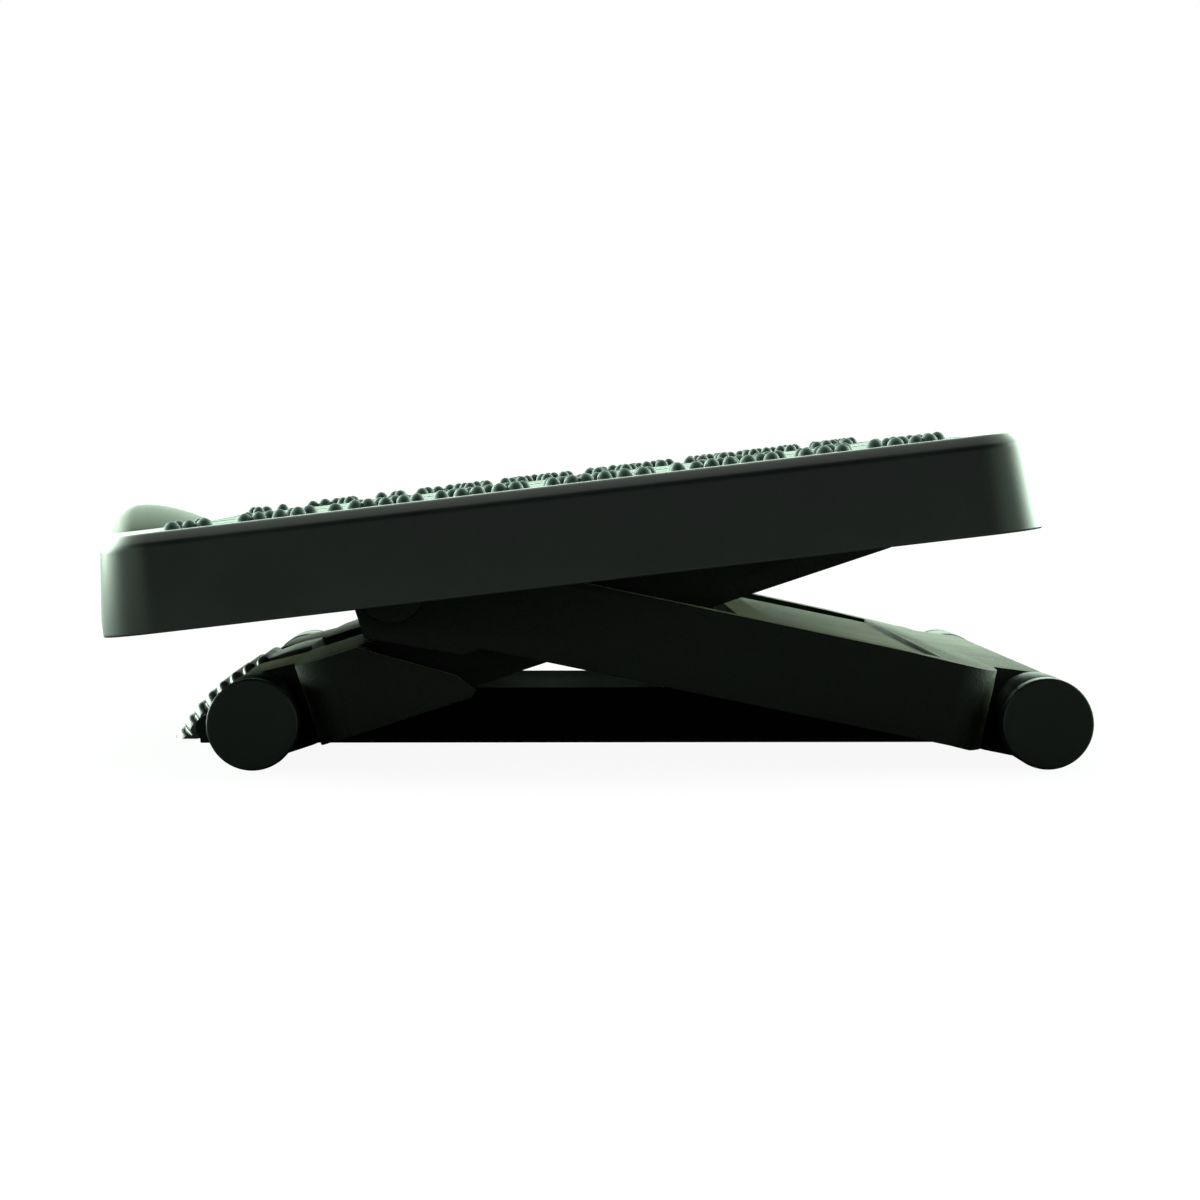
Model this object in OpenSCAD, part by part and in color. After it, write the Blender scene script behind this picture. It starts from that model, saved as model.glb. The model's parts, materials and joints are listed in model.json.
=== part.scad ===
// Adjustable tilting footrest: a wide bumpy platform that rocks on a tilt frame,
// carried by two crossed leg frames on four round feet, with a central rail
// and a ribbed pedal that frees the front axle for one of three heights.
// +X points to the toe edge, +Y across the user's feet, +Z up.
// The origin is on the floor, below the middle of the whole object.

/* [Platform] */
// Width of the platform across both feet
platform_w = 450; // [430:5:460]
// Length from heel edge to toe edge, along the platform's sides
platform_l = 342; // [334:1:344]
// Height of the platform, from the skirt's edge to the rim
platform_h = 36; // [34:1:38]
// How far the heel edge bows outwards at mid width
heel_bow = 24; // [10:1:28]
// How far the toe edge bows outwards at mid width
toe_bow = 5; // [2:1:8]
// Radius of the platform's four corners in plan
corner_r = 22; // [16:1:26]
// Thickness of the moulded walls
wall = 3; // [2.5:0.25:3.5]
// Width of the sloped band between skirt and rim
bevel = 4.6; // [3:0.2:6]
// Tilt of the platform at rest, in degrees
tilt_rest = 6.67; // [6:0.01:7]

/* [Legs] */
// Distance from the rear axle to the tilt pivot
leg_b_len = 245; // [243:0.5:247]
// Angle of the rear leg to the floor at rest, in degrees
leg_b_angle = 11.6; // [11.4:0.1:11.8]
// Distance from the rear axle to the crossing pins
cross_b = 182.9; // [182:0.1:184]
// Distance from the front axle to the crossing pins
cross_a = 117.2; // [116:0.1:118]
// Distance from the front axle to the support shaft
leg_a_len = 242; // [240:0.5:244]
// Half the overall width of both leg frames
leg_out_y = 195; // [190:1:196]
// Thickness of the side plates
plate_t = 4; // [3.5:0.5:4.5]

/* [Feet and axles] */
// Radius of a round foot
foot_r = 16.75; // [16:0.25:17]
// Length of a round foot along its axle
foot_len = 44; // [40:1:44]
// Distance between the outer faces of the feet
foot_span = 400; // [398:1:404]
// Position of the rear axle, from the middle of the object
rear_x = 175.1; // [175:0.1:176.5]
// Radius of the steel axles and of the tilt axle
axle_r = 5; // [4.5:0.1:5]
// Radial running clearance on the axles
running_gap = 0.05; // [0.03:0.01:0.1]

/* [Rail and pedal] */
// Half the width of the central rail
rail_half_w = 62; // [58:1:64]
// Height of the central rail
rail_h = 22; // [20:0.5:23]
// Half the width of the pedal
pedal_half_w = 48; // [40:1:50]
// Number of ribs across the pedal's face
rib_count = 8; // [6:1:9]

/* [Massage mats] */
// Height of the massage bumps
bump_h = 3.2; // [2.6:0.1:3.6]
// Spacing of the massage bumps
bump_pitch = 11; // [10:1:14]
// Rows of bumps along the outer side of each mat
bump_rows = 5; // [3:1:6]

/* [Hidden] */
$fn = 48;
eps = 0.01;
far = 300;

// Colours
charcoal = [0.10, 0.11, 0.11];
soft_black = [0.06, 0.07, 0.07];
mat_green = [0.22, 0.27, 0.26];
steel = [0.62, 0.64, 0.66];
nylon = [0.80, 0.80, 0.76];

// Linkage at rest
axle_z = foot_r;
cross_x = rear_x - cross_b * cos(leg_b_angle);
cross_z = axle_z + cross_b * sin(leg_b_angle);
leg_a_angle = asin((cross_z - axle_z) / cross_a);
front_x = cross_x - cross_a * cos(leg_a_angle);
pivot_x = rear_x - leg_b_len * cos(leg_b_angle);
pivot_z = axle_z + leg_b_len * sin(leg_b_angle);

// Platform, measured along and square to its own plane, from the tilt pivot
skirt_n = -5.1;
top_n = skirt_n + platform_h;
skirt_h = platform_h - 4.2;
draft = 3.2;
heel_s = -105;
nose_r = 100;
toe_s = heel_s + platform_l;
pocket = 1.5;
panel_n = top_n - pocket - wall;
mat_s0 = -82;
mat_s1 = 214;
mat_y0 = 14;
mat_y1 = 209;
mat_t = 1.3;
arch_s = -99.5;
arch_l = 41;
arch_h = 10;

// Bearings on the tilt axle
bearing_r = 10;
block_y0 = 146;
block_y1 = 160;
beam_y0 = 92;
beam_y1 = 108;
bush_r = 7;

// Tilt frame
glide_r = 9;
support_n = 5.67;
beam_gap = 0.3;
beam_n0 = support_n + glide_r + beam_gap;
beam_h = 8;
beam_s1 = 216;
pad_s = 150;
pad_h = panel_n - beam_n0 - beam_h - 0.3;

// Legs, measured along and square to each leg's own line
hub_r = 16.4;
hub_y0 = 120;
hub_gap_y = 66;
hub_y1 = 152;
leg_top = 14.6;
leg_low = 15.6;
web_t = 3;
shoulder_x = 20;
shoulder_r = 16;
arm_y0 = 168;
arm_y1 = 176;
arm_end_r = 13;
cross_r = 4.5;
cap_r = 12.9;
support_r = 4;
height_travel = 19.9;

// Pedal, a ribbed quarter round with its hinge at the floor
pedal_r = 79.4;
pedal_cx = -89.4;
pedal_cz = -39.7;
pedal_a0 = 100;
pedal_a1 = 150;
rib_step = 4.7;
hinge_x = pedal_cx - 53.3;
hinge_z = 6;
pin_r = 2;

// ---- Helpers ----

module both_sides() {
    children();
    mirror([0, 1, 0]) children();
}

// Extrudes an X-Z outline across the object, from y0 to y1
module across(y0, y1) {
    translate([0, y1, 0]) rotate([90, 0, 0]) linear_extrude(height = y1 - y0) children();
}

// A round bar across the object, from y0 to y1
module bar(r, y0, y1) {
    translate([0, y0, 0]) rotate([-90, 0, 0]) cylinder(r = r, h = y1 - y0);
}

// A ring across the object, from y0 to y1
module ring(r, bore, y0, y1) {
    difference() {
        bar(r, y0, y1);
        bar(bore, y0 - 1, y1 + 1);
    }
}

// x runs along the rear leg from the rear axle to the tilt pivot
module at_leg_b() {
    translate([rear_x, 0, axle_z]) rotate([0, leg_b_angle, 0]) mirror([1, 0, 0]) children();
}

// x runs along the front leg from the front axle to the support shaft
module at_leg_a() {
    translate([front_x, 0, axle_z]) rotate([0, -leg_a_angle, 0]) children();
}

// x runs along the platform from the tilt pivot to the toe edge
module at_platform() {
    translate([pivot_x, 0, pivot_z]) rotate([0, -tilt_rest, 0]) children();
}

function arc(cx, cy, r, a0, a1, n) =
    [for (i = [0:n]) let (a = a0 + (a1 - a0) * i / n) [cx + r * cos(a), cy + r * sin(a)]];

function bow_radius(half, bow) = (half * half + bow * bow) / (2 * bow);

// Plan of the platform: straight sides, a slightly bowed toe edge, and a heel edge
// that slants out on both sides to a round nose
function platform_outline(inset) =
    let (
        half = platform_w / 2,
        r = corner_r - inset,
        cy = half - corner_r,
        toe_r = bow_radius(half, toe_bow),
        toe_c = toe_s + toe_bow - toe_r,
        toe_x = toe_c + sqrt(pow(toe_r - corner_r, 2) - cy * cy),
        toe_a = atan2(cy, toe_x - toe_c),
        heel_x = heel_s + corner_r,
        slant = atan2(heel_bow, cy),
        nose_x = heel_x - (cy * sin(slant) + corner_r - nose_r) / cos(slant)
    ) concat(
        arc(toe_c, 0, toe_r - inset, -toe_a, toe_a, 10),
        arc(toe_x, cy, r, toe_a, 90, 8),
        arc(heel_x, cy, r, 90, 180 - slant, 8),
        arc(nose_x, 0, nose_r - inset, 180 - slant, 180 + slant, 6),
        arc(heel_x, -cy, r, 180 + slant, 270, 8),
        arc(toe_x, -cy, r, 270, 360 - toe_a, 8)
    );

module platform_slab(inset, n) {
    translate([0, 0, n]) linear_extrude(height = eps) polygon(platform_outline(inset));
}

// ---- Platform ----

module bearing_blocks() {
    both_sides() across(block_y0, block_y1) polygon([
        [-18, 0.1], [18, 0.1], [18, 8], [12, 12], [12, panel_n + 0.5],
        [-12, panel_n + 0.5], [-12, 12], [-18, 8]
    ]);
}

module shell_ribs() {
    rib_n = panel_n - 5;
    inner_y = beam_y1 + 4;
    outer_y = 206;
    both_sides() {
        for (y = [inner_y, 130, outer_y - 1]) {
            translate([heel_s + 12, y - 1, rib_n]) cube([platform_l - 24, 2, 5.5]);
        }
        for (s = [-60, 0, 60, 120, 180]) {
            translate([s - 1, inner_y, rib_n]) cube([2, outer_y - inner_y, 5.5]);
        }
    }
    translate([toe_s - 14, -outer_y, rib_n]) cube([2, 2 * outer_y, 5.5]);
    translate([heel_s + 12, -outer_y, rib_n]) cube([2, 2 * outer_y, 5.5]);
}

module platform_shell() {
    color(charcoal) at_platform() difference() {
        union() {
            difference() {
                hull() {
                    platform_slab(0, skirt_n);
                    platform_slab(draft, skirt_n + skirt_h);
                    platform_slab(draft + bevel, top_n - eps);
                }
                hull() {
                    platform_slab(wall - 0.05, skirt_n - 1);
                    platform_slab(wall + draft, panel_n - eps);
                }
                both_sides() translate([mat_s0 - 0.2, mat_y0 - 0.2, top_n - pocket])
                    cube([mat_s1 - mat_s0 + 0.4, mat_y1 - mat_y0 + 0.4, pocket + 1]);
            }
            bearing_blocks();
            difference() {
                shell_ribs();
                // room for the front leg's arms
                both_sides() translate([-60, arm_y0 - 4, panel_n - 6]) cube([290, 16, 5.9]);
            }
        }
        both_sides() bar(axle_r + running_gap, block_y0 - 1, block_y1 + 1);
        both_sides() for (s = [-14.5, 14.5]) {
            translate([s, (block_y0 + block_y1) / 2, -1]) cylinder(r = 1.5, h = 8);
        }
    }
}

// One of the two mats; its bumps stand in staggered rows along its outer side
module massage_mat() {
    inset = 6;
    bump_r = (bump_h + mat_t) / 2 - 0.05;
    cols = floor((mat_s1 - mat_s0 - 2 * inset) / bump_pitch) - 1;
    color(mat_green) at_platform() translate([0, 0, top_n - pocket]) {
        translate([mat_s0, mat_y0, 0]) cube([mat_s1 - mat_s0, mat_y1 - mat_y0, mat_t]);
        for (i = [0:cols - 1], j = [0:bump_rows - 1]) {
            shift = (j % 2) * bump_pitch / 2;
            translate([mat_s0 + inset + shift + (i + 0.5) * bump_pitch,
                       mat_y1 - inset - j * bump_pitch, mat_t + bump_h - bump_r])
                sphere(r = bump_r);
        }
    }
}

module massage_mat_left() { massage_mat(); }
module massage_mat_right() { mirror([0, 1, 0]) massage_mat(); }

// The smooth raised dome at the middle of the heel edge
module arch_support() {
    color(mat_green) at_platform() translate([arch_s, 0, top_n]) intersection() {
        hull() {
            translate([-3, -16, 0]) scale_dome(arch_l / 2 - 3, 26);
            translate([-3, 16, 0]) scale_dome(arch_l / 2 - 3, 26);
        }
        translate([-far, -far, 0]) cube([2 * far, 2 * far, far]);
    }
}

module scale_dome(rx, ry) {
    resize([2 * rx, 2 * ry, 2 * arch_h]) sphere(r = 10, $fn = 32);
}

module bearing_cap() {
    color(soft_black) at_platform() difference() {
        union() {
            intersection() {
                bar(bearing_r, block_y0, block_y1);
                translate([-20, block_y0, -20]) cube([40, 20, 20]);
            }
            translate([-18, block_y0, -4]) cube([36, block_y1 - block_y0, 4]);
        }
        bar(axle_r + running_gap, block_y0 - 1, block_y1 + 1);
        for (s = [-14.5, 14.5]) {
            translate([s, (block_y0 + block_y1) / 2, -12]) cylinder(r = 1.6, h = 14);
        }
    }
}

module bearing_cap_left() { bearing_cap(); }
module bearing_cap_right() { mirror([0, 1, 0]) bearing_cap(); }

module bearing_cap_screws() {
    color(steel) at_platform() both_sides() for (s = [-14.5, 14.5]) {
        translate([s, (block_y0 + block_y1) / 2, 0]) {
            translate([0, 0, -4]) cylinder(r = 1.5, h = 10);
            translate([0, 0, -6]) difference() {
                cylinder(r = 2.8, h = 2);
                translate([0, 0, -1]) cylinder(r = 1.4, h = 2, $fn = 6);
            }
        }
    }
}

// ---- Tilt frame ----

module tilt_beam_side() {
    union() {
        circle(r = bearing_r);
        polygon([
            [-bearing_r, 0], [0, -bearing_r], [8, -6], [26, beam_n0], [beam_s1, beam_n0],
            [beam_s1, beam_n0 + beam_h], [16, beam_n0 + beam_h], [-6, 8]
        ]);
    }
}

module tilt_frame() {
    color(soft_black) at_platform() difference() {
        union() {
            both_sides() across(beam_y0, beam_y1) tilt_beam_side();
            // cross members that join the two beams
            for (s = [34, 110, beam_s1 - 12]) {
                translate([s, -beam_y0 - 1, beam_n0 + 3]) cube([12, 2 * beam_y0 + 2, 5]);
            }
        }
        both_sides() bar(bush_r, beam_y0 - 1, beam_y1 + 1);
        // lightening channel along the top of each beam
        both_sides() translate([40, beam_y0 + 3, beam_n0 + 3])
            cube([96, beam_y1 - beam_y0 - 6, beam_h]);
    }
}

module tilt_bush() {
    color(nylon) at_platform() ring(bush_r, axle_r + running_gap, beam_y0, beam_y1);
}

module tilt_bush_left() { tilt_bush(); }
module tilt_bush_right() { mirror([0, 1, 0]) tilt_bush(); }

// Rubber pads that the platform comes to rest on
module tilt_stop_pads() {
    color(soft_black) at_platform() both_sides() for (s = [pad_s, beam_s1 - 14]) {
        translate([s, (beam_y0 + beam_y1) / 2, beam_n0 + beam_h]) cylinder(r = 6, h = pad_h);
    }
}

// Thin washers that set the stiffness of the rocking
module tilt_friction_washers() {
    color(nylon) at_platform() both_sides() ring(9, axle_r + running_gap, beam_y1, beam_y1 + 1.5);
}

// ---- Rear leg ----

module rear_leg_side() {
    union() {
        circle(r = hub_r);
        polygon([
            [0, -hub_r], [15, -16.4], [33, -15.2], [60, -14.9], [209, -14.7], [214, -18.2], [251, -19.5],
            [257, -9], [257, leg_top], [240, 16.5], [140, 16.6], [58, 15.6], [24, leg_top], [3, hub_r - 0.3]
        ]);
    }
}

// Plan of a leg frame past the round feet, with round shoulders; an inset gives its hollow
module leg_plan(length, inset) {
    shoulder_y = leg_out_y - shoulder_r;
    out_y = leg_out_y - inset;
    in_y = hub_y1 - inset;
    union() {
        polygon([
            [shoulder_x - 2 + inset, -in_y], [shoulder_x + inset, -shoulder_y],
            [shoulder_x + shoulder_r, -out_y], [length, -out_y],
            [length, out_y], [shoulder_x + shoulder_r, out_y],
            [shoulder_x + inset, shoulder_y], [shoulder_x - 2 + inset, in_y]
        ]);
        for (side = [-1, 1]) {
            translate([shoulder_x + shoulder_r, side * shoulder_y]) circle(r = shoulder_r - inset);
        }
    }
}

// The part of a leg frame between the round feet, round its hub
module hub_plan() {
    translate([-hub_r - 1, -hub_y1]) square([hub_r + 1 + shoulder_x, 2 * hub_y1]);
}

module rear_leg() {
    web_end = 119;
    color(soft_black) at_leg_b() difference() {
        union() {
            difference() {
                intersection() {
                    across(-leg_out_y, leg_out_y) rear_leg_side();
                    translate([0, 0, -40]) linear_extrude(height = 80) union() {
                        leg_plan(260, 0);
                        hub_plan();
                    }
                }
                // open underside
                translate([0, 0, -40]) linear_extrude(height = 40 + leg_top - web_t)
                    leg_plan(270, plate_t);
                // the front leg passes between the plates
                translate([web_end, -leg_out_y + plate_t, -40])
                    cube([200, 2 * (leg_out_y - plate_t), 80]);
                // over the rail the hub is only a hood
                bar(hub_r - web_t, -hub_gap_y, hub_gap_y);
                translate([-20, -hub_gap_y, -40]) cube([46, 2 * hub_gap_y, 49.2]);
                // shallow recess in the web
                translate([40, -170, leg_top - 1]) cube([66, 340, 10]);
            }
            // bosses round the crossing pins and under the pivot caps
            both_sides() translate([cross_b, 0, 0]) bar(9, 179, leg_out_y - 1);
            both_sides() translate([leg_b_len, 0, 0]) bar(cap_r - 1, 183, leg_out_y - 1);
            // stiffening ribs under the web
            for (y = [-75, 75]) {
                translate([20, y - 1.5, 4]) cube([98, 3, leg_top - web_t - 3.5]);
            }
        }
        both_sides() bar(bush_r, hub_y0, hub_y1 + 1);
        bar(axle_r + 0.6, -hub_y0 - 1, hub_y0 + 1);
        both_sides() translate([cross_b, 0, 0]) bar(cross_r, 170, leg_out_y - 2);
        both_sides() translate([leg_b_len, 0, 0]) bar(axle_r, 170, far);
        both_sides() translate([leg_b_len, 0, 0]) bar(cap_r, leg_out_y - 2, far);
    }
}

module tilt_axle() {
    tube_y = leg_out_y - 2;
    color(steel) at_leg_b() translate([leg_b_len, 0, 0]) bar(axle_r, -tube_y, tube_y);
}

module pivot_cap() {
    color(soft_black) at_leg_b() translate([leg_b_len, 0, 0]) {
        bar(cap_r - 0.3, leg_out_y - 2, leg_out_y - 0.2);
    }
}

module pivot_cap_left() { pivot_cap(); }
module pivot_cap_right() { mirror([0, 1, 0]) pivot_cap(); }

module cross_pin() {
    color(steel) at_leg_b() translate([cross_b, 0, 0]) union() {
        bar(cross_r, arm_y0 - 2, leg_out_y - 2);
        bar(cross_r + 2.5, arm_y0 - 4, arm_y0 - 2);
    }
}

module cross_pin_left() { cross_pin(); }
module cross_pin_right() { mirror([0, 1, 0]) cross_pin(); }

module rear_bush() {
    color(nylon) at_leg_b() ring(bush_r, axle_r + running_gap, hub_y0, hub_y1);
}

module rear_bush_left() { rear_bush(); }
module rear_bush_right() { mirror([0, 1, 0]) rear_bush(); }

// ---- Front leg ----

module front_leg_side() {
    union() {
        circle(r = hub_r);
        polygon([
            [0, -hub_r], [15, -hub_r], [25, -leg_low], [79, -leg_low - 0.3], [81, -14], [76, -6.6],
            [48, 12.2], [45, leg_top], [20, leg_top + 0.2], [3, hub_r - 0.3]
        ]);
    }
}

module front_arm_side() {
    tip = leg_a_len;
    union() {
        translate([tip, 0]) circle(r = arm_end_r);
        polygon([[36, -8], [60, -13.4], [tip, -arm_end_r], [tip, arm_end_r], [44, leg_top]]);
    }
}

module front_leg() {
    color(soft_black) at_leg_a() difference() {
        union() {
            difference() {
                intersection() {
                    across(-leg_out_y, leg_out_y) front_leg_side();
                    translate([0, 0, -40]) linear_extrude(height = 80) union() {
                        leg_plan(100, 0);
                        hub_plan();
                    }
                }
                // open underside
                translate([0, 0, -40]) linear_extrude(height = 40 + leg_top - web_t)
                    leg_plan(110, plate_t);
                // room above the web's slope for the rear leg
                translate([62, -leg_out_y + plate_t, -40]) cube([60, 2 * (leg_out_y - plate_t), 80]);
                // no hub over the rail, and room for the pedal
                translate([-20, -hub_gap_y, -40]) cube([38, 2 * hub_gap_y, 80]);
                translate([-20, -hub_gap_y, -40])
                    cube([46, 2 * hub_gap_y, 40 + leg_top - web_t]);
                translate([-20, -pedal_half_w - 6, -40]) cube([60, 2 * pedal_half_w + 12, 80]);
            }
            both_sides() across(arm_y0, arm_y1) front_arm_side();
            // walls that carry the arms from the web
            both_sides() translate([44, arm_y1 - 1, -leg_low + 1]) cube([4, 16, 24]);
            both_sides() translate([cross_a, 0, 0]) bar(10, arm_y0, arm_y1 + 1);
            for (y = [-75, 75]) {
                translate([18, y - 1.5, 4]) cube([44, 3, leg_top - web_t - 3.5]);
            }
        }
        bar(axle_r, -far, far);
        both_sides() translate([cross_a, 0, 0]) bar(cross_r + 2, arm_y0 - 1, arm_y1 + 2);
        both_sides() translate([leg_a_len, 0, 0]) bar(support_r, arm_y0 - 1, arm_y1 + 2);
    }
}

module front_axle() {
    color(steel) at_leg_a() bar(axle_r, -foot_span / 2 + 8, foot_span / 2 - 8);
}

// A round rubber foot with softened edges, closed at its outer end
module foot() {
    edge = 2.5;
    y0 = foot_span / 2 - foot_len;
    color(charcoal) translate([0, y0, 0]) rotate([-90, 0, 0]) difference() {
        rotate_extrude($fn = 72) union() {
            square([foot_r - edge, foot_len]);
            translate([0, edge]) square([foot_r, foot_len - 2 * edge]);
            translate([foot_r - edge, edge]) circle(r = edge);
            translate([foot_r - edge, foot_len - edge]) circle(r = edge);
        }
        translate([0, 0, -1]) cylinder(r = axle_r, h = foot_len - 7);
    }
}

module front_foot_left() { at_leg_a() foot(); }
module front_foot_right() { at_leg_a() mirror([0, 1, 0]) foot(); }

module cross_bush() {
    color(nylon) at_leg_a() translate([cross_a, 0, 0])
        ring(cross_r + 2, cross_r + running_gap, arm_y0, arm_y1 + 1);
}

module cross_bush_left() { cross_bush(); }
module cross_bush_right() { mirror([0, 1, 0]) cross_bush(); }

module support_shaft() {
    color(steel) at_leg_a() translate([leg_a_len, 0, 0]) bar(support_r, -arm_y1, arm_y1);
}

module glide_sleeve() {
    color(nylon) at_leg_a() translate([leg_a_len, 0, 0])
        ring(glide_r, support_r, beam_y0 - 4, beam_y1 + 4);
}

module glide_sleeve_left() { glide_sleeve(); }
module glide_sleeve_right() { mirror([0, 1, 0]) glide_sleeve(); }

// ---- Base rail ----

// The trough in which the front axle travels, open at the top
module axle_trough() {
    trough_r = axle_r + 0.35;
    translate([front_x, 0, axle_z]) {
        bar(trough_r, -far, far);
        translate([height_travel, 0, 0]) bar(trough_r, -far, far);
        translate([0, -far, -trough_r]) cube([height_travel, 2 * far, 2 * trough_r]);
        translate([-trough_r, -far, 0]) cube([height_travel + 2 * trough_r, 2 * far, 30]);
    }
}

module base_rail() {
    rail_x0 = hinge_x - 3.5;
    rail_wall = 3;
    deck_x0 = front_x + 40;
    color(soft_black) difference() {
        union() {
            // side walls with a sloped heel end that stays inside the pedal's curve
            both_sides() across(rail_half_w - rail_wall, rail_half_w) polygon([
                [rail_x0, 0], [rail_x0 - 0.5, 4], [rail_x0 + 4, 10], [rail_x0 + 14, 18],
                [rail_x0 + 22, rail_h], [rear_x, rail_h], [rear_x, 0]
            ]);
            // closed deck
            translate([deck_x0, -rail_half_w, rail_h - 2.5])
                cube([rear_x - 14 - deck_x0, 2 * rail_half_w, 2.5]);
            translate([rear_x - 16.5, -rail_half_w, 4]) cube([2.5, 2 * rail_half_w, rail_h - 4]);
            // ribs below the deck
            for (x = [deck_x0, -20, 40, 100]) {
                translate([x, -rail_half_w, 2]) cube([2.5, 2 * rail_half_w, rail_h - 2]);
            }
            both_sides() translate([rear_x, 0, axle_z]) bar(9, rail_half_w - 12, rail_half_w);
            // lugs for the pedal pin and seat for the notch plate
            both_sides() translate([hinge_x, 0, hinge_z]) bar(5.5, rail_half_w - 8, rail_half_w);
        }
        axle_trough();
        translate([rear_x, 0, axle_z]) bar(axle_r, -far, far);
        translate([hinge_x, 0, hinge_z]) bar(pin_r, -rail_half_w + 2, rail_half_w - 2);
    }
}

module rear_axle() {
    color(steel) translate([rear_x, 0, axle_z]) bar(axle_r, -foot_span / 2 + 8, foot_span / 2 - 8);
}

module rear_foot_left() { translate([rear_x, 0, axle_z]) foot(); }
module rear_foot_right() { translate([rear_x, 0, axle_z]) mirror([0, 1, 0]) foot(); }

// Wear plates with the three height notches, on the inner faces of the rail
module notch_plate() {
    plate_x0 = front_x - 10;
    color(steel) difference() {
        both_sides() translate([plate_x0, rail_half_w - 5, 1])
            cube([height_travel + 20, 2, axle_z - 1]);
        axle_trough();
        for (i = [0:2]) {
            translate([front_x + i * height_travel / 2, 0, axle_z - 1.6]) bar(axle_r, -far, far);
        }
    }
}

// ---- Pedal ----

// One ribbed sector of the pedal's curved face
module pedal_side() {
    difference() {
        union() {
            polygon(concat(
                arc(pedal_cx, pedal_cz, pedal_r - 1, pedal_a0, pedal_a1, 24),
                arc(pedal_cx, pedal_cz, pedal_r - 5, pedal_a1, pedal_a0, 24)
            ));
            for (i = [0:rib_count - 1]) {
                a = pedal_a1 - (i + 0.4) * rib_step;
                translate([pedal_cx + (pedal_r - 2) * cos(a), pedal_cz + (pedal_r - 2) * sin(a)])
                    circle(r = 3.1, $fn = 24);
            }
        }
        translate([-far, -far]) square([2 * far, far + 0.6]);
    }
}

module pedal() {
    cheek_t = 3;
    color(charcoal) difference() {
        union() {
            across(-pedal_half_w, pedal_half_w) pedal_side();
            // two cheeks under the face, with the hinge lugs
            both_sides() across(pedal_half_w - cheek_t, pedal_half_w) difference() {
                polygon(concat(
                    [[hinge_x + 5, 1.5]],
                    arc(pedal_cx, pedal_cz, pedal_r - 2, pedal_a1 - 2, pedal_a0, 16),
                    [[front_x + 12, 31], [front_x - 9, 27], [front_x - 14, 14], [hinge_x + 9, 7]]
                ));
                translate([-far, -far]) square([2 * far, far + 0.6]);
            }
            both_sides() translate([hinge_x, 0, hinge_z])
                bar(4.6, pedal_half_w - 12, pedal_half_w);
        }
        translate([hinge_x, 0, hinge_z]) bar(pin_r + running_gap, -far, far);
    }
}

// The rack below the front axle that the pedal carries
module latch_rack() {
    rack_y = pedal_half_w - 12;
    crest_z = axle_z - axle_r - 0.3;
    color(steel) difference() {
        both_sides() across(rack_y - 4, rack_y) polygon([
            [hinge_x + 2.3, hinge_z - 2], [hinge_x + 8, hinge_z - 1.5], [front_x - 9, crest_z - 3.6],
            [front_x + height_travel + 8, crest_z - 3.2], [front_x + height_travel + 8, crest_z],
            [front_x - 9, crest_z], [hinge_x + 9, hinge_z + 3.5], [hinge_x + 2.3, hinge_z + 3]
        ]);
        for (i = [0:2]) {
            translate([front_x + i * height_travel / 2, 0, axle_z - 1.6]) bar(axle_r, -far, far);
        }
    }
}

module pedal_pin() {
    color(steel) translate([hinge_x, 0, hinge_z]) bar(pin_r, -rail_half_w + 2, rail_half_w - 2);
}

// Torsion springs on the pedal pin, one at each side, each coil a closed ring
module pedal_springs() {
    wire = 0.7;
    coils = 4;
    color(steel) translate([hinge_x, 0, hinge_z]) both_sides()
        for (i = [0:coils - 1]) {
            translate([0, 20 + i * 1.9, 0]) rotate([-90, 0, 0])
                rotate_extrude($fn = 32) translate([3.2, 0]) circle(r = wire, $fn = 16);
        }
}

// Spring clips that keep the pedal pin in place
module pedal_pin_clips() {
    color(steel) translate([hinge_x, 0, hinge_z]) both_sides()
        ring(3.6, pin_r, pedal_half_w + 1, pedal_half_w + 2);
}

platform_shell();
massage_mat_left();
massage_mat_right();
arch_support();
bearing_cap_left();
bearing_cap_right();
bearing_cap_screws();
tilt_frame();
tilt_bush_left();
tilt_bush_right();
tilt_stop_pads();
tilt_friction_washers();
rear_leg();
tilt_axle();
pivot_cap_left();
pivot_cap_right();
cross_pin_left();
cross_pin_right();
rear_bush_left();
rear_bush_right();
front_leg();
front_axle();
front_foot_left();
front_foot_right();
cross_bush_left();
cross_bush_right();
support_shaft();
glide_sleeve_left();
glide_sleeve_right();
base_rail();
rear_axle();
rear_foot_left();
rear_foot_right();
notch_plate();
pedal();
latch_rack();
pedal_pin();
pedal_springs();
pedal_pin_clips();
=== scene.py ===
# An adjustable tilting footrest: a bumpy platform on two crossed legs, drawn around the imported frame.
import json
import math
import random
import bmesh
import bpy
from mathutils import Matrix, Vector


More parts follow.
